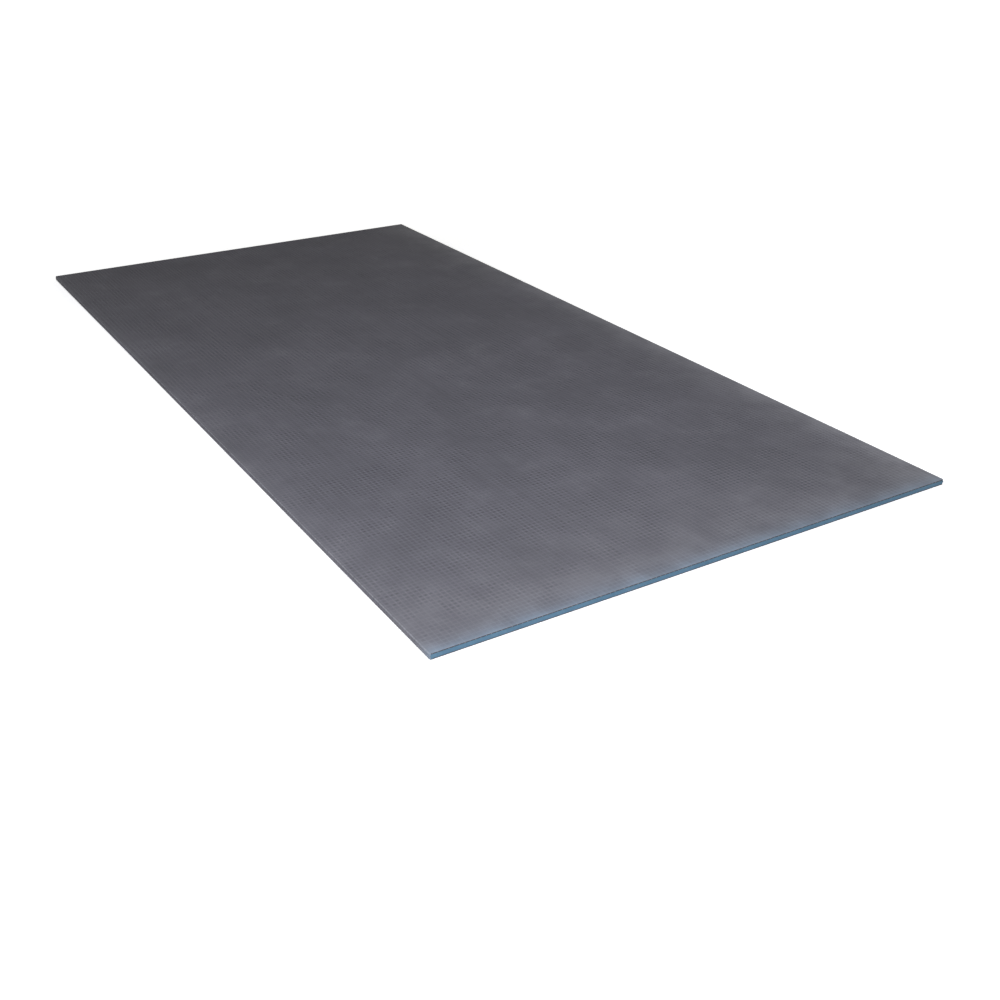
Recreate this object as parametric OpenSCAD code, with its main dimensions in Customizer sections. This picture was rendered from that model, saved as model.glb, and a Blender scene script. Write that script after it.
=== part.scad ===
// Tile backer board: a blue extruded polystyrene core in grey mortar, reinforced with glass mesh.
// The mortar covers both faces and is folded round both long edges. The two short ends are sawn
// and show the core. The board lies flat on its bottom coat. The origin is the centre of the
// underside, +X runs across the board, +Y along it and +Z up through its thickness.

/* [Board] */
// Width of the board, along X
board_w = 600; // [300:10:1200]
// Length of the board, along Y
board_l = 1200; // [600:10:2600]
// Thickness of the finished board, both coats included
board_t = 6; // [4:0.5:80]

/* [Mortar] */
// Thickness of the mortar on each face, glass mesh included
coat_t = 1; // [0.4:0.1:1.5]
// Thickness of the mortar folded round each long edge
edge_coat_t = 1; // [0.4:0.1:3]

/* [Arrises and corners] */
// Radius of the four long arrises, where the glass mesh is folded round the core
fold_r = 1; // [0.4:0.1:1.8]
// Radius that rubbing leaves on the arrises of the two sawn ends
sawn_arris_r = 0.3; // [0.1:0.05:0.35]
// Radius of the four corners, seen from above
corner_r = 2; // [0.5:0.5:8]

/* [Hidden] */

core_w = board_w - 2 * edge_coat_t;
core_t = board_t - 2 * coat_t;
// Height of the joint between the core and the top coat
top_joint = coat_t + core_t;
// Radius of the long arrises, no larger than the mortar over the core's own arris can hold
arris_r = min(fold_r, coat_t + edge_coat_t);
// Length by which a cutting shape runs past the surface that it cuts
cut_past = 5;

foam_blue = [0.40, 0.56, 0.66];
mortar_grey = [0.36, 0.37, 0.41];

$fn = 64;

// Rectangle with rounded corners, centred on the origin.
module rounded_rectangle(size, r) {
    straight = [size.x - 2 * r, size.y - 2 * r];
    square([size.x, straight.y], center = true);
    square([straight.x, size.y], center = true);
    for (x = [-1, 1], y = [-1, 1])
        translate([x * straight.x / 2, y * straight.y / 2])
            circle(r = r);
}

// Form of the whole board: what its plan, its end view and its side view have in common.
module board_form() {
    intersection() {
        linear_extrude(board_t)
            rounded_rectangle([board_w, board_l], corner_r);
        translate([0, 0, board_t / 2])
            rotate([90, 0, 0])
                linear_extrude(board_l, center = true)
                    rounded_rectangle([board_w, board_t], arris_r);
        translate([0, 0, board_t / 2])
            rotate([90, 0, 90])
                linear_extrude(board_w, center = true)
                    rounded_rectangle([board_l, board_t], sawn_arris_r);
    }
}

// Space of the foam, between the two folded edges and run out past both sawn ends.
module core_space() {
    translate([-core_w / 2, -board_l / 2 - cut_past, coat_t])
        cube([core_w, board_l + 2 * cut_past, core_t]);
}

// Space of the top coat, run out past the board on all sides.
module top_space() {
    translate([-board_w / 2 - cut_past, -board_l / 2 - cut_past, top_joint])
        cube([board_w + 2 * cut_past, board_l + 2 * cut_past, coat_t + cut_past]);
}

// Foam core, covered along both long edges and flush with the coats at both sawn ends.
module foam_core() {
    color(foam_blue)
        intersection() {
            board_form();
            core_space();
        }
}

// Top coat, laid over the core and over the folded edges of the bottom coat.
module top_coat() {
    color(mortar_grey)
        intersection() {
            board_form();
            top_space();
        }
}

// Bottom coat, a shallow tray of mortar: the lower face and both long edges up to the top coat.
module bottom_coat() {
    color(mortar_grey)
        difference() {
            board_form();
            core_space();
            top_space();
        }
}

foam_core();
top_coat();
bottom_coat();
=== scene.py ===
"""Tile backer board: a foam core in mortar, with a glass mesh cast in both faces and long edges.

The core and the coats come from the CAD model and are given their finish here. The new pieces
are the glass mesh where it shows through the mortar, as ribs over its threads and knots at its
crossings, and the cut ends of its threads in the two sawn ends.
"""

import math

import bmesh
import bpy
import numpy as np
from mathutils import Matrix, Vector


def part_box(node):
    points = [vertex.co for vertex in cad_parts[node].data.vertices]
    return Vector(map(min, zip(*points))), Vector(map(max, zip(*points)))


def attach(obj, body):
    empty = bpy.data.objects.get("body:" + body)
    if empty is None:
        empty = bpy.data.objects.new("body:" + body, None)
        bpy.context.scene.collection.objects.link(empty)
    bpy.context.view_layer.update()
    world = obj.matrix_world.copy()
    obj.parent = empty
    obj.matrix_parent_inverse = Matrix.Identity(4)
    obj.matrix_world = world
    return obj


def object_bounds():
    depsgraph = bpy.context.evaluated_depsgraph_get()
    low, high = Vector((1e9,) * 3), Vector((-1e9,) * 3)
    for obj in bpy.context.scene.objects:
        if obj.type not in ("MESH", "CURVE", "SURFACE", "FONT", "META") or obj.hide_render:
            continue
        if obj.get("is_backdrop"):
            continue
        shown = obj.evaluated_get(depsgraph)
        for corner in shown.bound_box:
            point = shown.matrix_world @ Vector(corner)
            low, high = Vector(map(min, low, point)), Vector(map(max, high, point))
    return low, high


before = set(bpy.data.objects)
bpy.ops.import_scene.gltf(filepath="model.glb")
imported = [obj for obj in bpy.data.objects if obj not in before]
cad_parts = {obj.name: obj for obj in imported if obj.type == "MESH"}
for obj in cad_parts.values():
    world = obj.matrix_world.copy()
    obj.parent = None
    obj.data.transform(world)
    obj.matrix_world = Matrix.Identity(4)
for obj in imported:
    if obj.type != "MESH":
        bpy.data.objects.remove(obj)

bl_info = {
    "name": "Tile Backer Board",
    "version": (1, 0, 0),
    "blender": (4, 5, 0),
    "location": "3D View > Sidebar > Backer Board",
    "description": "Finishes a foam tile backer board: mortar coats, glass mesh, sawn ends and stage",
    "category": "Object",
}

MM = 0.001

# The board as the frame holds it, in metres
LOW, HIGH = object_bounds()
CENTRE = (LOW + HIGH) / 2
SIZE = HIGH - LOW
EDGE_COAT = HIGH.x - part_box("foam_core")[1].x  # thickness of the mortar over a long edge
FOLD_RADIUS = 1 * MM  # radius of the four long arrises, round which the mesh is folded

# The ribs over the threads, and the knots over their crossings
RIB_CREST_SHARE = 0.4  # width of a rib's crest beside that of its foot
SECTION_LENGTH = 25 * MM  # length of one straight section of a rib
FOLD_SEGMENTS = 3  # sections in which a rib goes round a folded arris
SAWN_RELIEF = 0.35 * MM  # how far the ribs stop short of the sawn ends, where the arris begins
KNOT_STRETCH = 1.15  # length of a knot along the board beside its width
DRIFT_PATCH = 70 * MM  # size of the patches in which the threads stray together
FADE_PATCH = 60 * MM  # size of the patches in which the print rises and sinks
LUMP_PATCH = 3 * MM  # size of the lumps in the mortar skin over the threads
LUMP_RISE = 0.05 * MM  # height of those lumps
SMOOTH_BELOW = math.radians(50)  # edges sharper than this stay sharp
FACING = 0.9  # cosine above which a face counts as looking along an axis

# The cut ends of the threads
STUB_LENGTH = 4  # length of a cut end beside how far it stands proud of the sawn end
TIP_LENGTH = 0.5  # length of its frayed tip, beside the same
TIP_HOLLOW = 0.25  # depth of the hollow in the tip, beside the same
TIP_RIM = 0.25  # width of the rim round that hollow beside the thickness of the thread
FRAYED_WIDTH = 1.2  # width of the frayed tip beside that of the thread
FRAYED_DEPTH = 1.5  # thickness of the frayed tip beside that of the thread
TUFT_RISE = 0.07 * MM  # how far the filaments of a tip stand apart
TUFT_SIZE = 0.45 * MM  # size of the tufts that they make

# The patterns of the finish: the size of their lumps and the height of their relief, in millimetres
BROAD_SIZE = 120  # broad clouds in the mortar
BLOTCH_SIZE, BLOTCH_RISE = 17, 0.1  # blotches in it
DRAG_SIZE, DRAG_RISE = 6, 0.05  # drag lines of the coating blade
DRAG_STRETCH = 40  # length of those lines beside their width
SAND_SIZE, SAND_RISE = 0.7, 0.055
PINHOLE_PATCH, PINHOLE_DEPTH = 8, 0.12  # each patch may have one pinhole
WINDOW_DEPTH = 0.12  # dips between the threads
YARN_SIZE, YARN_RISE = 0.45, 0.03  # the filaments of a thread, felt through the mortar
PRINT_PATCH = 45  # patches in which the mesh shows more or less
CHIP_SIZE = 2.5  # chips on the arrises
MARGIN_PATCH = 35  # patches in which the pale margins, of painted light and of dust, are stronger or weaker
SCORE_SIZE, SCORE_RISE = 0.55, 0.07  # scores of the saw
FEED_SIZE, FEED_RISE = 14, 0.15  # waves of its feed
CELL_SIZE, CELL_RISE = 0.32, 0.06  # cells of the foam
CLOUD_SIZE = 22  # clouds in the foam
DUST_PATCH, SPECK_SIZE = 60, 1.1  # patches of dust, and the specks in them
FILAMENT_SIZE, FILAMENT_RISE = 0.09, 0.04  # filaments of a cut thread
FILAMENT_STRETCH = 5  # length of their tufts beside their width
SMEAR_SIZE = 3  # cement smeared over them

# The rest of the finish. A pair in millimetres says where a fade begins and where it ends
KNOT_WEAR = (0.3, 1.5)  # wear on a knot, by the distance from its crossing
WINDOW_DIP = (0.7, 2.1)  # dip of a window, by the distance from its threads
SAWN_SKIN = (0.05, 0.25)  # the cut surface, by the depth in from a sawn end
ARRIS_REACH = 1.3  # width of the worn arrises, in millimetres
PRINT_RANGE = (0.36, 0.62)  # noise of the print's patches, from a faint mesh to a clear one
PAINTED_DIP_SHADE = 0.6  # how dark mortar is painted in a dip or a saw score, beside the rest: painted shade
CUT_GRAIN = 0.4  # share of the mortar's own grain that shows on a sawn end
PLANED = 0.4  # share of the grain's height that the saw takes away
THIN_DUST = 0.12  # strongest cover of dust on the mortar
FOAM_DUST = 0.35  # strongest cover of dust on the foam
# near black of the pinholes: painted shade in the holes
PAINTED_PINHOLE_SHADE = (0.02, 0.02, 0.022, 1)
MORTAR_ROUGHNESS = (0.62, 0.86)
FOAM_ROUGHNESS = (0.55, 0.78)
GLASS_ROUGHNESS = (0.35, 0.8)
MORTAR_GLOSS = 0.05  # specular level of dry mortar
FOAM_GLOSS = 0.2  # specular level of cut foam
# The pale margins, by the axis and side of their edge: their cover there, and how far in they fade. The lit
# margins are painted light: pale bands along the long edges and over the near end. The dusty one is foam
# dust by the front end
MARGINS = {
    "Lit margin": ((0, 1, 0.33, 28), (0, -1, 0.07, 25), (1, -1, 0.05, 30), (1, -1, 0.19, 90)),
    "Dusty": ((1, -1, 0.27, 9),),
}

# The stage, in metres
WHITE = (1, 1, 1, 1)
AIR_COLOUR = (1, 0.98, 0.85, 1)
LAMP_COLOUR = (0.885, 0.905, 1)
FILL_COLOUR = (1, 0.98, 0.88)
# Each lamp's place, the point it is turned to, its width and its colour
LAMPS = {
    "Key": ((-0.32, -0.66, 1.0), (-0.2, -0.45, 0), 0.6, LAMP_COLOUR),
    "Side": ((-1.7, -1.6, 0.5), (-0.2, -0.45, 0), 1.0, LAMP_COLOUR),
    "Fill": ((1.2, 2.0, 0.4), (0.1, 0.35, 0), 1.0, FILL_COLOUR),
}
FLOOR_SIZE = 40  # side of the floor
FLOOR_ROUGHNESS, FLOOR_GLOSS = 0.95, 0.1
FLOOR_LIFT = 0.62  # how much the floor is lifted for the camera, close by the board
LIFT_START, LIFT_END = 0.55, 1.1  # from the board's middle: where the lift grows, and where it is full


def painted(red, green, blue):
    """A colour as it is shown on a screen, from 0 to 1 a channel, made linear for Blender."""
    return tuple(c / 12.92 if c <= 0.04045 else ((c + 0.055) / 1.055) ** 2.4 for c in (red, green, blue))


# ---------------------------------------------------------------- settings


def length(name, description, default):
    """A size in metres, shown in the scene's own unit."""
    return bpy.props.FloatProperty(
        name=name, description=description, default=default,
        min=0, precision=5, unit="LENGTH", subtype="DISTANCE"
    )


def colour(name, description, default):
    """A colour that a user can pick."""
    return bpy.props.FloatVectorProperty(
        name=name, description=description, default=default, min=0, max=1, size=3, subtype="COLOR"
    )


def angle(name, description, degrees):
    """An angle, written here in degrees."""
    return bpy.props.FloatProperty(
        name=name, description=description, default=math.radians(degrees), unit="ROTATION", subtype="ANGLE"
    )


def power(name, description, watts):
    """The power of a lamp."""
    return bpy.props.FloatProperty(name=name, description=description, default=watts, min=0, unit="POWER")


class GlassMeshSettings(bpy.types.PropertyGroup):
    """Sizes of the glass mesh and of its print through the mortar."""

    pitch: length("Pitch", "Distance from one thread to the next, both ways", 5 * MM)
    rib_width: length("Rib width", "Width at the foot of the rib over a thread", 1.5 * MM)
    rib_rise: length("Rib rise", "Height of a rib above the coat", 0.12 * MM)
    knot_width: length("Knot width", "Width of the knot where two threads cross", 2.4 * MM)
    knot_rise: length("Knot rise", "Height of a knot above the coat", 0.2 * MM)
    rooting: length("Rooting", "Depth of the ribs and knots below the face of the coat", 0.3 * MM)
    wander: length("Wander", "How far a thread strays from its straight line", 0.5 * MM)
    fading: length("Fading", "How far the print rises and sinks from patch to patch", 0.16 * MM)
    end_width: length("Thread width", "Width of a cut thread in a sawn end", 1.0 * MM)
    end_depth: length("Thread depth", "Thickness of a cut thread in a sawn end", 0.26 * MM)
    end_cover: length("Thread cover", "Depth of the threads below the face of the coat", 0.45 * MM)
    end_proud: length("Thread proud", "How far a cut thread stands out of a sawn end", 0.22 * MM)


class FinishSettings(bpy.types.PropertyGroup):
    """Colours of the board's materials."""

    mortar_dark: colour(
        "Mortar, dark", "Mortar between the threads, damp or dense", painted(0.312, 0.31, 0.328)
    )
    mortar_light: colour(
        "Mortar, light", "Mortar between the threads, dry or sandy", painted(0.413, 0.408, 0.432)
    )
    rib_dark: colour(
        "Ribs, dark", "Mortar skin over the threads, where it is dense", painted(0.332, 0.33, 0.348)
    )
    rib_light: colour(
        "Ribs, light", "Mortar skin over the threads, where it is rubbed", painted(0.443, 0.438, 0.462)
    )
    sawn_mortar: colour("Sawn mortar", "Mortar on the sawn ends", painted(0.36, 0.375, 0.40))
    dust: colour("Dust", "Cement dust", painted(0.66, 0.66, 0.67))
    foam_dust: colour(
        "Foam dust", "Dust of sawn foam and mortar, by the front end", painted(0.51, 0.65, 0.75)
    )
    # The foam is painted between these two by random clouds, and darker in its cell hollows and saw scores:
    # painted shade
    foam_dark: colour("Foam, dark", "Core where the saw has pressed it", painted(0.285, 0.435, 0.53))
    foam_light: colour("Foam, light", "Core where its cells are cut open", painted(0.45, 0.59, 0.675))
    glass_dark: colour("Glass, dark", "Thread filaments smeared with cement", painted(0.40, 0.415, 0.43))
    glass_light: colour("Glass, light", "Clean thread filaments", painted(0.62, 0.64, 0.65))


class StageSettings(bpy.types.PropertyGroup):
    """Camera and lamps."""

    aim: bpy.props.FloatVectorProperty(
        name="Aim", description="Point on the board that the camera looks at",
        default=(-0.11193, -0.40138, 0.006), size=3, unit="LENGTH", subtype="XYZ"
    )
    distance: length("Distance", "Distance from the camera to the point it looks at", 1.20558)
    turn: angle("Turn", "How far round to the left of the board's front the camera stands", 31.627)
    tilt: angle("Tilt", "How far the camera looks down", 27.223)
    lens: bpy.props.FloatProperty(
        name="Lens", description="Focal length of the camera", default=43.83, min=1, unit="CAMERA"
    )
    floor_colour: colour("Floor", "Studio floor", painted(0.93, 0.93, 0.93))
    key_power: power("Key", "Power of the soft lamp over the near end", 10.8)
    side_power: power("Side", "Power of the low soft lamp on the edges", 20)
    fill_power: power("Fill", "Power of the low soft lamp behind the board", 12)
    air: bpy.props.FloatProperty(
        name="Air", description="Strength of the even light from all round", default=0.16, min=0
    )


class BackerBoardSettings(bpy.types.PropertyGroup):
    """All that a user may change on the board."""

    mesh: bpy.props.PointerProperty(type=GlassMeshSettings)
    finish: bpy.props.PointerProperty(type=FinishSettings)
    stage: bpy.props.PointerProperty(type=StageSettings)


# ---------------------------------------------------------------- modelling


def remove_piece(name):
    """Takes away a piece made by an earlier run, so that a button can be pressed again."""
    if name in bpy.data.objects:
        bpy.data.objects.remove(bpy.data.objects[name])


def pick(piece):
    """Makes the piece the only selected object, and the active one."""
    bpy.ops.object.select_all(action="DESELECT")
    piece.select_set(True)
    bpy.context.view_layer.objects.active = piece


def settle(piece):
    """Puts the piece's place, turn and scale into its mesh."""
    pick(piece)
    bpy.ops.object.transform_apply(location=True, rotation=True, scale=True)


def select_parts(kind, chosen):
    """Selects the FACEs or EDGEs of the edited mesh that are chosen, and nothing else."""
    bpy.ops.mesh.select_mode(type=kind)
    bpy.ops.mesh.select_all(action="DESELECT")
    mesh = bpy.context.edit_object.data
    shape = bmesh.from_edit_mesh(mesh)
    for part in shape.faces if kind == "FACE" else shape.edges:
        part.select_set(chosen(part))
    bmesh.update_edit_mesh(mesh)


def finish_modifier(piece, modifier):
    """Applies the modifier to the piece's mesh."""
    pick(piece)
    bpy.ops.object.modifier_apply(modifier=modifier.name)


def repeat(piece, count, step):
    """Repeats the piece in a row of count copies, a step apart, centred on the piece's own place."""
    pick(piece)
    bpy.ops.object.modifier_add(type="ARRAY")
    row = piece.modifiers[-1]
    row.count = count
    row.use_relative_offset = False
    row.use_constant_offset = True
    row.constant_offset_displace = step
    finish_modifier(piece, row)
    bpy.ops.transform.translate(value=Vector(step) * (1 - count) / 2)
    settle(piece)


def stray(piece, direction, reach, patch, basis):
    """Pushes the piece's vertices to and fro along one direction, in patches of the given size."""
    texture = bpy.data.textures.new(f"Stray {direction}", "CLOUDS")
    texture.noise_scale = patch
    texture.noise_basis = basis
    texture.noise_depth = 2
    pick(piece)
    bpy.ops.object.modifier_add(type="DISPLACE")
    push = piece.modifiers[-1]
    push.texture = texture
    push.texture_coords = "LOCAL"
    push.direction = direction
    push.mid_level = 0.5
    push.strength = 2 * reach
    finish_modifier(piece, push)


def turn(piece, axis, degrees, about):
    """Turns the piece's mesh about an axis through a point."""
    pick(piece)
    bpy.ops.object.mode_set(mode="EDIT")
    bpy.ops.mesh.select_all(action="SELECT")
    bpy.ops.transform.rotate(value=math.radians(degrees), orient_axis=axis, center_override=about)
    bpy.ops.object.mode_set(mode="OBJECT")


def copy_piece(piece):
    """A copy of the piece with its own mesh."""
    pick(piece)
    bpy.ops.object.duplicate()
    return bpy.context.object


def join(pieces, name):
    """Joins the pieces into one, under the given name."""
    pick(pieces[0])
    for piece in pieces[1:]:
        piece.select_set(True)
    bpy.ops.object.join()
    pieces[0].name = name
    pieces[0].data.name = name
    return pieces[0]


def rise_over_board(point):
    """How far a point stands over the board's skin, seen along the board. Below 0 it is in the mortar."""
    past_x = abs(point.x - CENTRE.x) - (SIZE.x / 2 - FOLD_RADIUS)
    past_z = abs(point.z - CENTRE.z) - (SIZE.z / 2 - FOLD_RADIUS)
    return math.hypot(max(past_x, 0), max(past_z, 0)) + min(max(past_x, past_z), 0) - FOLD_RADIUS


def map_unrolled(piece):
    """Lays the board's skin, unrolled from its left edge, over the piece's bake map.

    Faces that look into the mortar are hidden, and go one square aside.
    """
    mesh = piece.data
    corners = np.empty(len(mesh.polygons), int)
    mesh.polygons.foreach_get("loop_total", corners)
    corner_of = np.empty(len(mesh.loops), int)
    mesh.loops.foreach_get("vertex_index", corner_of)
    place = np.empty(len(mesh.vertices) * 3)
    mesh.vertices.foreach_get("co", place)
    x, y, z = place.reshape(-1, 3)[corner_of].T
    middle = np.empty(len(mesh.polygons) * 3)
    mesh.polygons.foreach_get("center", middle)
    normal = np.empty(len(mesh.polygons) * 3)
    mesh.polygons.foreach_get("normal", normal)
    middle, normal = (np.repeat(values.reshape(-1, 3), corners, axis=0) for values in (middle, normal))
    # The outer half of a fold goes with the long edge
    on_side = np.abs(middle[:, 0] - CENTRE.x) > SIZE.x / 2 - FOLD_RADIUS / 3
    right, top = middle[:, 0] > CENTRE.x, middle[:, 2] > CENTRE.z
    inwards = np.where(on_side, np.where(right, -1, 1) * normal[:, 0], np.where(top, -1, 1) * normal[:, 2])
    run = np.select(
        [on_side & right, on_side, top],
        [SIZE.x + HIGH.z - z, 2 * SIZE.x + SIZE.z + z - LOW.z, x - LOW.x],
        SIZE.x + SIZE.z + HIGH.x - x
    )
    spot = np.stack((run / (2 * (SIZE.x + SIZE.z)) + (inwards > 0.5), (y - LOW.y) / SIZE.y), axis=1)
    mesh.uv_layers.new(name="OFBake").data.foreach_set("uv", spot.ravel())


def thread_count(side, pitch):
    """How many threads lie side by side across a side of the board."""
    return round(side / pitch)


def add_warp_rib(sizes):
    """One rib along the middle of the upper face: a bar that narrows upwards, cut into short sections."""
    foot, crest = HIGH.z - sizes.rooting, HIGH.z + sizes.rib_rise
    run = SIZE.y - 2 * SAWN_RELIEF
    bpy.ops.object.select_all(action="DESELECT")
    bpy.ops.mesh.primitive_cube_add(
        size=1, calc_uvs=False, location=(CENTRE.x, CENTRE.y, (foot + crest) / 2),
        scale=(sizes.rib_width, run, crest - foot)
    )
    rib = bpy.context.object
    settle(rib)
    bpy.ops.object.mode_set(mode="EDIT")
    select_parts("FACE", lambda face: face.normal.z > FACING)
    bpy.ops.transform.resize(value=(RIB_CREST_SHARE, 1, 1), center_override=(CENTRE.x, CENTRE.y, crest))
    select_parts("EDGE", lambda edge: edge.calc_length() > run / 2)
    bpy.ops.mesh.subdivide(number_cuts=round(run / SECTION_LENGTH) - 1)
    bpy.ops.object.mode_set(mode="OBJECT")
    return rib


def add_weft_rib(sizes):
    """One rib across the board, run right round it, over both faces and both folded edges."""
    bpy.ops.object.select_all(action="DESELECT")
    bpy.ops.mesh.primitive_cube_add(
        size=1, calc_uvs=False, location=CENTRE, scale=(SIZE.x, sizes.rib_width, SIZE.z)
    )
    rib = bpy.context.object
    settle(rib)
    bpy.ops.object.mode_set(mode="EDIT")
    select_parts("EDGE", lambda edge: abs(edge.verts[0].co.y - edge.verts[1].co.y) > sizes.rib_width / 2)
    bpy.ops.mesh.bevel(offset=FOLD_RADIUS, segments=FOLD_SEGMENTS)
    select_parts("FACE", lambda face: abs(face.normal.y) > FACING)
    bpy.ops.mesh.delete(type="ONLY_FACE")
    select_parts("EDGE", lambda edge: edge.calc_length() > SIZE.x / 2)
    bpy.ops.mesh.subdivide(number_cuts=round(SIZE.x / SECTION_LENGTH) - 1)
    bpy.ops.object.mode_set(mode="OBJECT")
    bpy.ops.object.modifier_add(type="SOLIDIFY")
    wall = rib.modifiers[-1]
    wall.thickness = sizes.rooting + sizes.rib_rise
    wall.offset = 1 - 2 * sizes.rooting / wall.thickness
    wall.use_even_offset = True
    finish_modifier(rib, wall)
    bpy.ops.object.mode_set(mode="EDIT")
    select_parts("FACE", lambda face: rise_over_board(face.calc_center_median()) > sizes.rib_rise / 2)
    bpy.ops.transform.resize(value=(1, RIB_CREST_SHARE, 1), center_override=CENTRE)
    bpy.ops.mesh.select_all(action="SELECT")
    bpy.ops.mesh.normals_make_consistent(inside=False)
    bpy.ops.object.mode_set(mode="OBJECT")
    return rib


def make_warp_ribs(sizes):
    """The ribs over the threads that run along the board: on both faces, and one on each folded edge."""
    upper = add_warp_rib(sizes)
    right = copy_piece(upper)
    repeat(upper, thread_count(SIZE.x, sizes.pitch), (sizes.pitch, 0, 0))
    stray(upper, "X", sizes.wander, DRIFT_PATCH, "ORIGINAL_PERLIN")
    lower = copy_piece(upper)
    turn(lower, "Y", 180, CENTRE)
    pick(right)
    bpy.ops.transform.translate(value=(0, 0, (SIZE.x - SIZE.z) / 2))
    settle(right)
    turn(right, "Y", 90, CENTRE)
    left = copy_piece(right)
    turn(left, "Z", 180, CENTRE)
    return join([upper, lower, right, left], "warp_ribs")


def make_weft_ribs(sizes):
    """The ribs over the threads that run across the board and are folded round its long edges."""
    ribs = add_weft_rib(sizes)
    repeat(ribs, thread_count(SIZE.y, sizes.pitch), (0, sizes.pitch, 0))
    stray(ribs, "Y", sizes.wander, DRIFT_PATCH, "IMPROVED_PERLIN")
    ribs.name = ribs.data.name = "weft_ribs"
    return ribs


def make_knots(sizes, face):
    """The knots of one face: a low mound over each crossing of the mesh."""
    foot, crest = HIGH.z - sizes.rooting, HIGH.z + sizes.knot_rise
    bpy.ops.object.select_all(action="DESELECT")
    bpy.ops.mesh.primitive_cone_add(
        vertices=4, radius1=sizes.knot_width / math.sqrt(2), depth=crest - foot, calc_uvs=False,
        location=(CENTRE.x, CENTRE.y, (foot + crest) / 2), rotation=(0, 0, math.radians(45))
    )
    knots = bpy.context.object
    settle(knots)
    bpy.ops.object.mode_set(mode="EDIT")
    bpy.ops.mesh.select_all(action="SELECT")
    bpy.ops.transform.resize(value=(1, KNOT_STRETCH, 1), center_override=(CENTRE.x, CENTRE.y, foot))
    bpy.ops.object.mode_set(mode="OBJECT")
    repeat(knots, thread_count(SIZE.x, sizes.pitch), (sizes.pitch, 0, 0))
    repeat(knots, thread_count(SIZE.y, sizes.pitch), (0, sizes.pitch, 0))
    stray(knots, "X", sizes.wander, DRIFT_PATCH, "ORIGINAL_PERLIN")
    stray(knots, "Y", sizes.wander, DRIFT_PATCH, "IMPROVED_PERLIN")
    if face == "lower":
        turn(knots, "Y", 180, CENTRE)
    knots.name = knots.data.name = f"{face}_knots"
    return knots


def add_thread_end(sizes):
    """One cut thread at the middle of the front end: a flat stub whose tip is frayed wide and hollow."""
    stub_length = STUB_LENGTH * sizes.end_proud
    tip = LOW.y - sizes.end_proud
    bpy.ops.object.select_all(action="DESELECT")
    bpy.ops.mesh.primitive_cylinder_add(
        vertices=8, radius=0.5, depth=1, calc_uvs=False, rotation=(math.radians(90), 0, 0)
    )
    stub = bpy.context.object
    settle(stub)
    stub.scale = (sizes.end_width, stub_length, sizes.end_depth)
    stub.location = (CENTRE.x, tip + stub_length / 2, CENTRE.z)
    settle(stub)
    bpy.ops.object.mode_set(mode="EDIT")
    select_parts("FACE", lambda face: face.normal.y < -FACING)
    bpy.ops.mesh.extrude_region_move(
        TRANSFORM_OT_translate={"value": (0, -TIP_LENGTH * sizes.end_proud, 0)}
    )
    bpy.ops.transform.resize(
        value=(FRAYED_WIDTH, 1, FRAYED_DEPTH), center_override=(CENTRE.x, tip, CENTRE.z)
    )
    bpy.ops.mesh.inset(thickness=TIP_RIM * sizes.end_depth)
    bpy.ops.transform.translate(value=(0, TIP_HOLLOW * sizes.end_proud, 0))
    bpy.ops.object.mode_set(mode="OBJECT")
    return stub


def make_thread_ends(sizes):
    """The cut warp threads of the mesh, standing a little proud of the two sawn ends."""
    faces = add_thread_end(sizes)
    right = copy_piece(faces)
    repeat(faces, thread_count(SIZE.x, sizes.pitch), (sizes.pitch, 0, 0))
    repeat(faces, 2, (0, 0, SIZE.z - 2 * sizes.end_cover))
    turn(right, "Y", 90, CENTRE)
    repeat(right, 2, (SIZE.x - EDGE_COAT, 0, 0))
    front = join([faces, right], "thread_ends")
    stray(front, "Y", sizes.end_proud, 2 * sizes.pitch, "BLENDER_ORIGINAL")
    stray(front, "NORMAL", TUFT_RISE, TUFT_SIZE, "IMPROVED_PERLIN")
    back = copy_piece(front)
    turn(back, "Z", 180, CENTRE)
    return join([front, back], "thread_ends")


# ---------------------------------------------------------------- shader nodes


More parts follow.
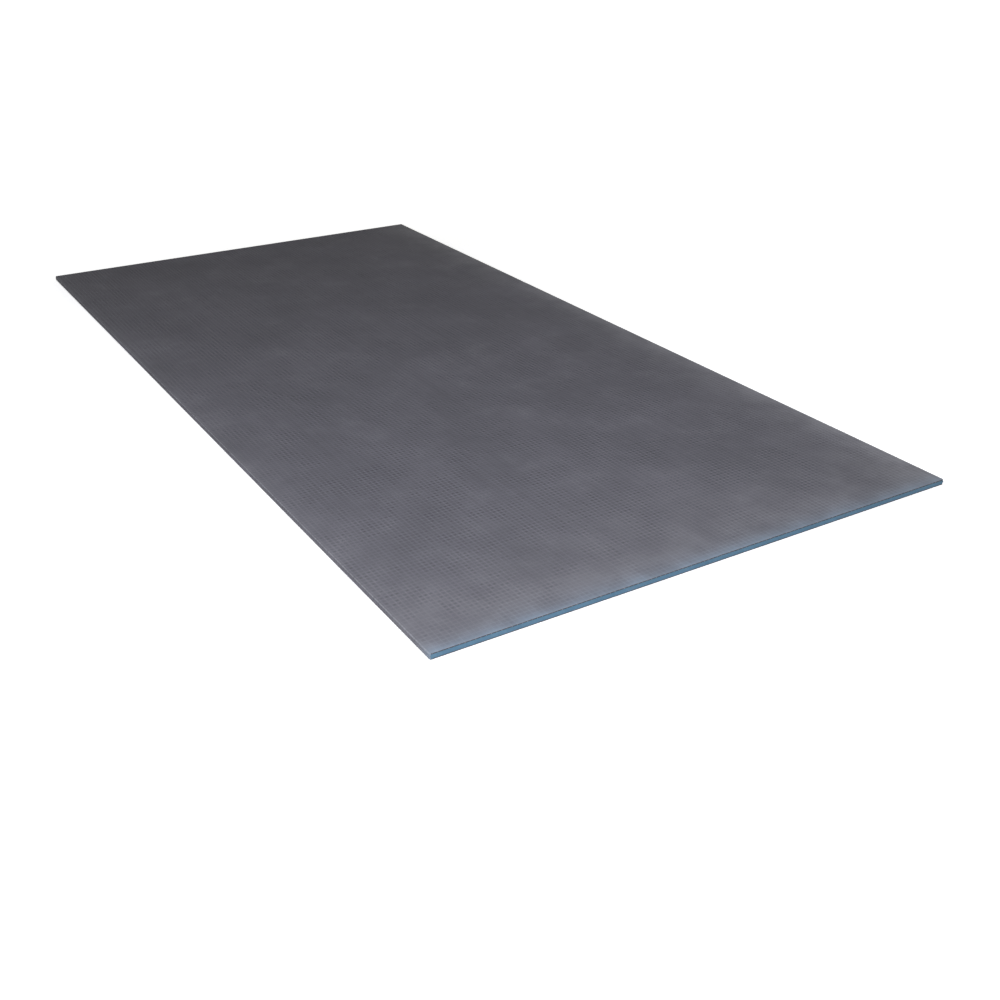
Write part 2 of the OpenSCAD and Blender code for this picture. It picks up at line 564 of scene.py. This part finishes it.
class Tree:
    """Adds nodes to one node tree, each fed from values and from other nodes' sockets."""

    def __init__(self, tree):
        self.tree = tree

    def node(self, kind, feeds=None, **settings):
        """A new node of a kind. Feeds go by socket name or number."""
        made = self.tree.nodes.new("ShaderNode" + kind)
        for name, value in settings.items():
            setattr(made, name, value)
        for name, value in (feeds or {}).items():
            self.feed(made.inputs[name], value)
        return made

    def feed(self, socket, value):
        """Links a socket into the given one, or writes a value on it."""
        if isinstance(value, bpy.types.NodeSocket):
            self.tree.links.new(value, socket)
        else:
            socket.default_value = value

    def math(self, operation, *values, clamp=False):
        """A calculation with one to three values."""
        feeds = dict(enumerate(values))
        return self.node("Math", feeds, operation=operation, use_clamp=clamp).outputs[0]

    def weighed(self, *parts, offset=0.0, clamp=False):
        """The sum of values, each times its own weight, with an offset. Parts are (value, weight)."""
        total = offset
        for value, weight in parts[:-1]:
            total = self.math("MULTIPLY_ADD", value, weight, total)
        return self.math("MULTIPLY_ADD", *parts[-1], total, clamp=clamp)

    def vector_math(self, operation, *values, output="Vector"):
        """A calculation with vectors, whose output is a Vector or a Value."""
        return self.node("VectorMath", dict(enumerate(values)), operation=operation).outputs[output]

    def fade(self, value, start, end, low=0.0, high=1.0):
        """Goes softly from low to high while the value goes from start to end."""
        feeds = {"Value": value, "From Min": start, "From Max": end, "To Min": low, "To Max": high}
        return self.node("MapRange", feeds, interpolation_type="SMOOTHSTEP").outputs["Result"]

    def blend(self, share, first, second):
        """A colour between two colours. The node's colours are its sockets 6, 7 and 2."""
        return self.node("Mix", {"Factor": share, 6: first, 7: second}, data_type="RGBA").outputs[2]

    def noise(self, vector, size, detail=2.0, roughness=0.5):
        """Soft noise whose lumps have the given size, in the vector's unit."""
        feeds = {"Vector": vector, "Scale": 1 / size, "Detail": detail, "Roughness": roughness}
        return self.node("TexNoise", feeds).outputs["Fac"]

    def cells(self, vector, size, output="Distance"):
        """Scattered cells of the given size: the distance to a cell's middle, or its own random colour."""
        return self.node("TexVoronoi", {"Vector": vector, "Scale": 1 / size}).outputs[output]

    def drawn_out(self, vector, times):
        """The vector with a smaller Y, in which a pattern is that many times longer along the board."""
        return self.node("Mapping", {"Vector": vector, "Scale": (1, 1 / times, 1)}).outputs[0]

    def group(self, tree, feeds):
        """Places a node group."""
        made = self.tree.nodes.new("ShaderNodeGroup")
        made.node_tree = tree
        for name, value in feeds.items():
            self.feed(made.inputs[name], value)
        return made.outputs


def shade(rgb):
    """A setting's colour as a socket wants it, with its alpha."""
    return (*rgb, 1)


def empty_group(name, inputs, outputs):
    """An empty node group, its tree, its inputs and its results. Sockets are given as name: kind."""
    group = bpy.data.node_groups.get(name)
    if group is None:
        group = bpy.data.node_groups.new(name, "ShaderNodeTree")
        for in_out, sockets in (("INPUT", inputs), ("OUTPUT", outputs)):
            for socket, kind in sockets.items():
                group.interface.new_socket(socket, in_out=in_out, socket_type="NodeSocket" + kind)
    group.nodes.clear()
    tree = Tree(group)
    given = group.nodes.new("NodeGroupInput").outputs
    result = group.nodes.new("NodeGroupOutput").inputs
    return group, tree, given, result


# All groups take the place on the board in millimetres and give heights in millimetres.


def mortar_grain_group():
    """Polymer mortar: broad and small blotches, drag lines of the coating blade, sand, and pinholes painted
    near black as painted shade.
    """
    inputs = {"Place": "Vector", "Dark": "Color", "Light": "Color"}
    outputs = {"Colour": "Color", "Roughness": "Float", "Height": "Float"}
    group, tree, given, result = empty_group("Mortar grain", inputs, outputs)
    place = given["Place"]
    broad = tree.noise(place, BROAD_SIZE, 3)
    blotch = tree.noise(place, BLOTCH_SIZE, 4, 0.6)
    drag = tree.noise(tree.drawn_out(place, DRAG_STRETCH), DRAG_SIZE, 3)
    sand = tree.fade(tree.noise(place, SAND_SIZE, 3, 0.65), 0.25, 0.75)
    chance = tree.node("SeparateColor", {0: tree.cells(place, PINHOLE_PATCH, "Color")}).outputs[0]
    hole = tree.fade(tree.cells(place, PINHOLE_PATCH), 0.035, 0.07, 1, 0)
    hole = tree.math("MULTIPLY", hole, tree.fade(chance, 0.6, 0.62))
    tone = tree.weighed((broad, 0.9), (blotch, 0.5), (drag, 0.35), (sand, 0.5), offset=-0.625, clamp=True)
    mixed = tree.blend(tone, given["Dark"], given["Light"])
    tree.feed(result["Colour"], tree.blend(tree.math("MULTIPLY", hole, 0.6), mixed, PAINTED_PINHOLE_SHADE))
    rough = tree.fade(tree.math("ADD", blotch, sand), 0.7, 1.3, *MORTAR_ROUGHNESS)
    tree.feed(result["Roughness"], rough)
    reliefs = ((sand, SAND_RISE), (drag, DRAG_RISE), (blotch, BLOTCH_RISE), (hole, -PINHOLE_DEPTH))
    tree.feed(result["Height"], tree.weighed(*reliefs))
    return group


def thread_lines_group(pitch):
    """Where the mesh lies: its crossings and the windows between its threads, each with a random value."""
    outputs = {"Crossing": "Float", "Window": "Float", "Knot chance": "Float", "Window chance": "Float"}
    group, tree, given, result = empty_group("Thread lines", {"Place": "Vector"}, outputs)
    parts = tree.node("SeparateXYZ", {0: given["Place"]}).outputs
    face = tree.math("GREATER_THAN", parts[2], CENTRE.z / MM)
    steps = []
    for axis in range(2):
        first = -(thread_count(SIZE[axis], pitch) - 1) / 2 * pitch / MM
        steps.append(tree.math("DIVIDE", tree.math("SUBTRACT", parts[axis], first), pitch / MM))
    gaps = [tree.math("MULTIPLY", tree.math("PINGPONG", step, 0.5), pitch / MM) for step in steps]
    tree.feed(result["Crossing"], tree.fade(tree.math("MAXIMUM", *gaps), *KNOT_WEAR, 1, 0))
    tree.feed(result["Window"], tree.fade(tree.math("MINIMUM", *gaps), *WINDOW_DIP))
    for name, whole in (("Knot chance", "ROUND"), ("Window chance", "FLOOR")):
        count = [tree.math(whole, step) for step in steps]
        seed = tree.node("CombineXYZ", {0: count[0], 1: count[1], 2: face}).outputs[0]
        tree.feed(result[name], tree.node("TexWhiteNoise", {"Vector": seed}).outputs["Value"])
    return group


def board_edges_group():
    """Where a point lies by the board's edges: on an arris, a sawn end, a margin of painted light, or a
    dusty margin.
    """
    outputs = {"Arris": "Float", "Sawn": "Float", "Lit margin": "Float", "Dusty": "Float"}
    group, tree, given, result = empty_group("Board edges", {"Place": "Vector"}, outputs)
    centred = tree.vector_math("SUBTRACT", given["Place"], CENTRE / MM)
    depths = tree.vector_math("SUBTRACT", SIZE / 2 / MM, tree.vector_math("ABSOLUTE", centred))
    across, along, through = tree.node("SeparateXYZ", {0: depths}).outputs
    pairs = [tree.math("MINIMUM", *pair) for pair in ((across, along), (along, through), (across, through))]
    arris = tree.math("MAXIMUM", tree.math("MAXIMUM", *pairs[:2]), pairs[2])
    tree.feed(result["Arris"], tree.fade(arris, 0, ARRIS_REACH, 1, 0))
    tree.feed(result["Sawn"], tree.fade(along, *SAWN_SKIN, 1, 0))
    spot = tree.node("SeparateXYZ", {0: centred}).outputs
    uneven = tree.fade(tree.noise(given["Place"], MARGIN_PATCH, 3), 0.3, 0.7, 0.7, 1.3)
    for name, margins in MARGINS.items():
        cover = 0.0
        for axis, sign, share, reach in margins:
            depth = tree.math("MULTIPLY_ADD", spot[axis], -sign, SIZE[axis] / 2 / MM)
            faded = tree.math("EXPONENT", tree.math("DIVIDE", depth, -reach))
            cover = tree.math("MULTIPLY_ADD", faded, share, cover)
        tree.feed(result[name], tree.math("MULTIPLY", cover, uneven))
    return group


def saw_marks_group():
    """The saw's slanting scores on a sawn end, and the longer waves of its feed: their heights, and a
    painted shading that is dark in their troughs.
    """
    group, tree, given, result = empty_group(
        "Saw marks", {"Place": "Vector"}, {"Painted shading": "Float", "Height": "Float"}
    )
    parts = tree.node("SeparateXYZ", {0: given["Place"]}).outputs
    slant = tree.math("MULTIPLY_ADD", parts[2], 0.45, tree.math("ADD", parts[0], parts[1]))
    unrolled = tree.node("CombineXYZ", {0: slant, 1: tree.math("MULTIPLY", parts[2], 0.15)}).outputs[0]
    score = tree.noise(unrolled, SCORE_SIZE, 2, 0.6)
    feed = tree.noise(unrolled, FEED_SIZE, 2)
    tree.feed(result["Painted shading"], tree.weighed((score, 0.5), (feed, 0.5)))
    tree.feed(result["Height"], tree.weighed((score, SCORE_RISE), (feed, FEED_RISE)))
    return group


def dust_group():
    """Where dust clings: thin clouds of specks."""
    group, tree, given, result = empty_group("Dust", {"Place": "Vector"}, {"Cover": "Float"})
    clouds = tree.fade(tree.noise(given["Place"], DUST_PATCH, 5, 0.65), 0.5, 0.75)
    speck = tree.fade(tree.noise(given["Place"], SPECK_SIZE, 2), 0.45, 0.65)
    tree.feed(result["Cover"], tree.math("MULTIPLY", clouds, speck))
    return group


def shared_groups(pitch):
    """The node groups that the materials share, by name."""
    groups = [mortar_grain_group(), thread_lines_group(pitch), board_edges_group()]
    groups += [saw_marks_group(), dust_group()]
    return {group.name: group for group in groups}


def new_material(name):
    """A new material: its tree, its shader and the place on the board in millimetres."""
    if name in bpy.data.materials:
        bpy.data.materials.remove(bpy.data.materials[name])
    material = bpy.data.materials.new(name)
    material.use_nodes = True
    tree = Tree(material.node_tree)
    shader = material.node_tree.nodes["Principled BSDF"]
    place = tree.node("TexCoord").outputs["Object"]
    place = tree.node("VectorMath", {"Vector": place, "Scale": 1 / MM}, operation="SCALE").outputs[0]
    return material, tree, shader, place


def add_relief(tree, shader, height):
    """Feeds a height in millimetres to the shader as a bump."""
    bump = tree.node("Bump", {"Height": height, "Distance": MM, "Strength": 1.0})
    tree.feed(shader.inputs["Normal"], bump.outputs[0])


def place_groups(tree, groups, place, dark, light):
    """Places the groups of both mortar materials: the grain, the thread lines, the edges and the dust."""
    grain = tree.group(groups["Mortar grain"], {"Place": place, "Dark": shade(dark), "Light": shade(light)})
    lines = tree.group(groups["Thread lines"], {"Place": place})
    edges = tree.group(groups["Board edges"], {"Place": place})
    return grain, lines, edges, tree.group(groups["Dust"], {"Place": place})["Cover"]


def print_strength(tree, place, bare):
    """How clearly the mesh shows from patch to patch, from the bare value to 1."""
    return tree.fade(tree.noise(place, PRINT_PATCH, 3), *PRINT_RANGE, bare, 1)


def dust_wear_and_lit_margins(tree, finish, colour, place, edges, dust):
    """The colour with its thin dust, its margins of painted light, its foam dust by the front end and its
    worn arrises.
    """
    # thin dust, plus the lit margins: painted light along the edges and over the near end, in the dust's
    # pale colour
    rubbed = tree.math("MULTIPLY_ADD", dust, THIN_DUST, edges["Lit margin"], clamp=True)
    colour = tree.blend(rubbed, colour, shade(finish.dust))
    colour = tree.blend(edges["Dusty"], colour, shade(finish.foam_dust))
    chipped = tree.fade(tree.noise(place, CHIP_SIZE, 3), 0.35, 0.6, 0.15, 0.5)
    return tree.blend(tree.math("MULTIPLY", edges["Arris"], chipped), colour, shade(finish.dust))


def mortar_coat_material(finish, groups):
    """Mortar of a coat: its faces and folded edges between the threads, and its sawn ends."""
    material, tree, shader, place = new_material("mortar_coat")
    grain, lines, edges, dust = place_groups(tree, groups, place, finish.mortar_dark, finish.mortar_light)
    saw = tree.group(groups["Saw marks"], {"Place": place})
    # The windows between the threads, where the coat dips, are painted darker: partly the denser slurry
    # there, partly painted shade in the dips
    sunk = tree.math("MULTIPLY", lines["Window"], print_strength(tree, place, 0.2))
    sunk = tree.math("MULTIPLY", sunk, tree.fade(lines["Window chance"], 0, 1, 0.1, 0.6))
    face = tree.blend(sunk, grain["Colour"], shade(Vector(finish.mortar_dark) * PAINTED_DIP_SHADE))
    face = dust_wear_and_lit_margins(tree, finish, face, place, edges, dust)
    # The saw's scores are painted darker than the ridges between them: painted shade in the grooves
    scored = shade(Vector(finish.sawn_mortar) * PAINTED_DIP_SHADE)
    cut = tree.blend(saw["Painted shading"], scored, shade(finish.sawn_mortar))
    cut = tree.blend(CUT_GRAIN, cut, grain["Colour"])
    tree.feed(shader.inputs["Base Color"], tree.blend(edges["Sawn"], face, cut))
    tree.feed(shader.inputs["Roughness"], tree.math("MULTIPLY_ADD", edges["Sawn"], 0.1, grain["Roughness"]))
    skin = tree.math("MULTIPLY_ADD", sunk, -WINDOW_DEPTH, grain["Height"])
    skin = tree.math("MULTIPLY", skin, tree.math("MULTIPLY_ADD", edges["Sawn"], -PLANED, 1.0))
    add_relief(tree, shader, tree.math("MULTIPLY_ADD", saw["Height"], edges["Sawn"], skin))
    shader.inputs["Specular IOR Level"].default_value = MORTAR_GLOSS
    return material


def mortar_rib_material(finish, groups):
    """The mortar skin over the threads, rubbed light on its knots."""
    material, tree, shader, place = new_material("mortar_ribs")
    grain, lines, edges, dust = place_groups(tree, groups, place, finish.rib_dark, finish.rib_light)
    worn = tree.math("MULTIPLY", lines["Crossing"], print_strength(tree, place, 0.1))
    worn = tree.math("MULTIPLY", worn, lines["Knot chance"])
    skin = tree.blend(worn, grain["Colour"], shade(finish.rib_light))
    tree.feed(shader.inputs["Base Color"], dust_wear_and_lit_margins(tree, finish, skin, place, edges, dust))
    tree.feed(shader.inputs["Roughness"], tree.math("MULTIPLY_ADD", worn, -0.1, grain["Roughness"]))
    yarn = tree.noise(place, YARN_SIZE, 2)
    add_relief(tree, shader, tree.math("MULTIPLY_ADD", yarn, YARN_RISE, grain["Height"]))
    shader.inputs["Specular IOR Level"].default_value = MORTAR_GLOSS
    return material


def foam_material(finish, groups):
    """Extruded foam, sawn across its cells."""
    material, tree, shader, place = new_material("blue_foam")
    saw = tree.group(groups["Saw marks"], {"Place": place})
    dust = tree.group(groups["Dust"], {"Place": place})["Cover"]
    cell = tree.cells(place, CELL_SIZE)
    cloud = tree.noise(place, CLOUD_SIZE, 3)
    # Random clouds of tone, made darker in the middles of the cut cells and in the saw's scores: painted
    # shade in those hollows
    tone = tree.weighed((cell, 0.35), (cloud, 0.6), (saw["Painted shading"], 0.5), offset=-0.25, clamp=True)
    colour = tree.blend(tone, shade(finish.foam_dark), shade(finish.foam_light))
    colour = tree.blend(tree.math("MULTIPLY", dust, FOAM_DUST), colour, shade(finish.dust))
    tree.feed(shader.inputs["Base Color"], colour)
    tree.feed(shader.inputs["Roughness"], tree.fade(tone, 0, 1, *FOAM_ROUGHNESS))
    add_relief(tree, shader, tree.math("MULTIPLY_ADD", cell, CELL_RISE, saw["Height"]))
    shader.inputs["Specular IOR Level"].default_value = FOAM_GLOSS
    return material


def glass_thread_material(finish):
    """Cut glass thread: fine pale filaments, smeared with cement."""
    material, tree, shader, place = new_material("glass_thread")
    tufts = tree.noise(tree.drawn_out(place, FILAMENT_STRETCH), FILAMENT_SIZE, 2)
    filaments = tree.fade(tufts, 0.3, 0.7)
    smear = tree.fade(tree.noise(place, SMEAR_SIZE, 3), 0.4, 0.65)
    tone = tree.math("MULTIPLY", filaments, tree.math("SUBTRACT", 1.25, smear), clamp=True)
    colour = tree.blend(tone, shade(finish.glass_dark), shade(finish.glass_light))
    tree.feed(shader.inputs["Base Color"], colour)
    tree.feed(shader.inputs["Roughness"], tree.fade(smear, 0, 1, *GLASS_ROUGHNESS))
    add_relief(tree, shader, tree.math("MULTIPLY", filaments, FILAMENT_RISE))
    return material


def dress(piece, material):
    """Gives the piece one material."""
    piece.data.materials.clear()
    piece.data.materials.append(material)


# ---------------------------------------------------------------- stage


def place_camera(stage):
    """Stands the camera in front of the board's near corner, looking down along it."""
    level = math.cos(stage.tilt)
    way = Vector((math.sin(stage.turn) * level, math.cos(stage.turn) * level, -math.sin(stage.tilt)))
    bpy.ops.object.select_all(action="DESELECT")
    bpy.ops.object.camera_add(
        location=Vector(stage.aim) - way * stage.distance,
        rotation=(math.radians(90) - stage.tilt, 0, -stage.turn)
    )
    camera = bpy.context.object
    camera.name = "Camera"
    camera.data.lens = stage.lens
    camera.data.clip_start = 0.01
    camera.data.clip_end = 100
    bpy.context.scene.camera = camera


def seen_share(tree):
    """1 for rays that show the background to the camera, straight or in a shiny surface. 0 for light."""
    path = tree.node("LightPath").outputs
    seen = tree.math("MAXIMUM", path["Is Camera Ray"], path["Is Glossy Ray"])
    return tree.math("MAXIMUM", seen, path["Is Transmission Ray"])


def floor_material(stage):
    """Pale matt floor, lifted for the camera so that it meets the backdrop without a line."""
    material, tree, shader, place = new_material("studio_floor")
    shader.inputs["Roughness"].default_value = FLOOR_ROUGHNESS
    shader.inputs["Specular IOR Level"].default_value = FLOOR_GLOSS
    tree.feed(shader.inputs["Base Color"], shade(stage.floor_colour))
    tree.feed(shader.inputs["Emission Color"], WHITE)
    away = tree.vector_math("LENGTH", place, output="Value")
    lift = tree.fade(away, LIFT_START / MM, LIFT_END / MM, FLOOR_LIFT, 1)
    tree.feed(shader.inputs["Emission Strength"], tree.math("MULTIPLY", seen_share(tree), lift))
    return material


def lay_floor(stage):
    """Lays the floor under the lowest point of the board."""
    bpy.ops.object.select_all(action="DESELECT")
    bpy.ops.mesh.primitive_plane_add(size=FLOOR_SIZE, location=(0, 0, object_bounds()[0].z))
    floor = bpy.context.object
    floor.name = "studio_floor"
    dress(floor, floor_material(stage))
    floor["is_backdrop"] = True


def light_world(stage):
    """A white backdrop for the camera, and an even soft light for everything else."""
    world = bpy.data.worlds.new("studio")
    world.use_nodes = True
    bpy.context.scene.world = world
    tree = Tree(world.node_tree)
    backdrop = world.node_tree.nodes["Background"]
    seen = seen_share(tree)
    tree.feed(backdrop.inputs["Color"], tree.blend(seen, AIR_COLOUR, WHITE))
    tree.feed(backdrop.inputs["Strength"], tree.fade(seen, 0, 1, stage.air, 1))


def light_stage(stage):
    """A soft key lamp over the near end, and two low lamps for the edges, one on each side."""
    for name, watts in (("Key", stage.key_power), ("Side", stage.side_power), ("Fill", stage.fill_power)):
        place, target, width, shine = LAMPS[name]
        way = Vector(target) - Vector(place)
        bpy.ops.object.select_all(action="DESELECT")
        bpy.ops.object.light_add(
            type="AREA", location=place, rotation=way.to_track_quat("-Z", "Y").to_euler()
        )
        lamp = bpy.context.object
        lamp.name = name
        lamp.visible_camera = False
        lamp.visible_glossy = name != "Fill"  # the fill faces the camera, and would haze the mortar
        lamp.data.shape = "DISK"
        lamp.data.size = width
        lamp.data.energy = watts
        lamp.data.color = shine


# ---------------------------------------------------------------- operators


class BACKER_OT_coats_and_core(bpy.types.Operator):
    """Give the mortar coats and the foam core their finish"""

    bl_idname = "backer_board.coats_and_core"
    bl_label = "Coats and Core"
    bl_options = {"REGISTER", "UNDO"}

    def execute(self, context):
        board = context.scene.backer_board
        groups = shared_groups(board.mesh.pitch)
        mortar = mortar_coat_material(board.finish, groups)
        for name in ("top_coat", "bottom_coat"):
            dress(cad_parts[name], mortar)
        dress(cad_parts["foam_core"], foam_material(board.finish, groups))
        return {"FINISHED"}


class BACKER_OT_glass_mesh(bpy.types.Operator):
    """Print the glass mesh through the mortar, as ribs over its threads and knots at its crossings"""

    bl_idname = "backer_board.glass_mesh"
    bl_label = "Glass Mesh"
    bl_options = {"REGISTER", "UNDO"}

    def execute(self, context):
        board = context.scene.backer_board
        sizes = board.mesh
        material = mortar_rib_material(board.finish, shared_groups(sizes.pitch))
        for name in ("warp_ribs", "weft_ribs", "upper_knots", "lower_knots"):
            remove_piece(name)
        pieces = [make_warp_ribs(sizes), make_weft_ribs(sizes)]
        pieces += [make_knots(sizes, face) for face in ("upper", "lower")]
        for piece in pieces:
            stray(piece, "NORMAL", sizes.fading, FADE_PATCH, "BLENDER_ORIGINAL")
            stray(piece, "NORMAL", LUMP_RISE, LUMP_PATCH, "IMPROVED_PERLIN")
            bpy.ops.object.shade_smooth_by_angle(angle=SMOOTH_BELOW)
            map_unrolled(piece)
            dress(piece, material)
            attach(piece, "root")
        return {"FINISHED"}


class BACKER_OT_thread_ends(bpy.types.Operator):
    """Add the cut ends of the glass threads to the two sawn ends"""

    bl_idname = "backer_board.thread_ends"
    bl_label = "Thread Ends"
    bl_options = {"REGISTER", "UNDO"}

    def execute(self, context):
        board = context.scene.backer_board
        remove_piece("thread_ends")
        ends = make_thread_ends(board.mesh)
        bpy.ops.object.shade_smooth_by_angle(angle=SMOOTH_BELOW)
        dress(ends, glass_thread_material(board.finish))
        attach(ends, "root")
        return {"FINISHED"}


class BACKER_OT_stage(bpy.types.Operator):
    """Set up the floor, the lamps, the backdrop and the camera"""

    bl_idname = "backer_board.stage"
    bl_label = "Stage"
    bl_options = {"REGISTER", "UNDO"}

    def execute(self, context):
        for name in ("studio_floor", *LAMPS, "Camera"):
            remove_piece(name)
        stage = context.scene.backer_board.stage
        context.scene.view_settings.view_transform = "Standard"
        lay_floor(stage)
        light_world(stage)
        light_stage(stage)
        place_camera(stage)
        return {"FINISHED"}


class BACKER_PT_board(bpy.types.Panel):
    """Sizes, colours and buttons of the backer board"""

    bl_idname = "BACKER_PT_board"
    bl_label = "Tile Backer Board"
    bl_space_type = "VIEW_3D"
    bl_region_type = "UI"
    bl_category = "Backer Board"

    def draw(self, context):
        board = context.scene.backer_board
        for part in (board.mesh, board.finish, board.stage):
            box = self.layout.box()
            for name in part.__annotations__:
                box.prop(part, name)
        for operator in OPERATORS:
            self.layout.operator(operator.bl_idname)


OPERATORS = (BACKER_OT_coats_and_core, BACKER_OT_glass_mesh, BACKER_OT_thread_ends, BACKER_OT_stage)
SETTINGS = (GlassMeshSettings, FinishSettings, StageSettings, BackerBoardSettings)
CLASSES = (*SETTINGS, *OPERATORS, BACKER_PT_board)


def register():
    for item in CLASSES:
        bpy.utils.register_class(item)
    bpy.types.Scene.backer_board = bpy.props.PointerProperty(type=BackerBoardSettings)


def unregister():
    del bpy.types.Scene.backer_board
    for item in reversed(CLASSES):
        bpy.utils.unregister_class(item)


def main():
    """Builds the whole scene."""
    register()
    bpy.ops.backer_board.coats_and_core()
    bpy.ops.backer_board.glass_mesh()
    bpy.ops.backer_board.thread_ends()
    bpy.ops.backer_board.stage()


if __name__ == "__main__":
    main()
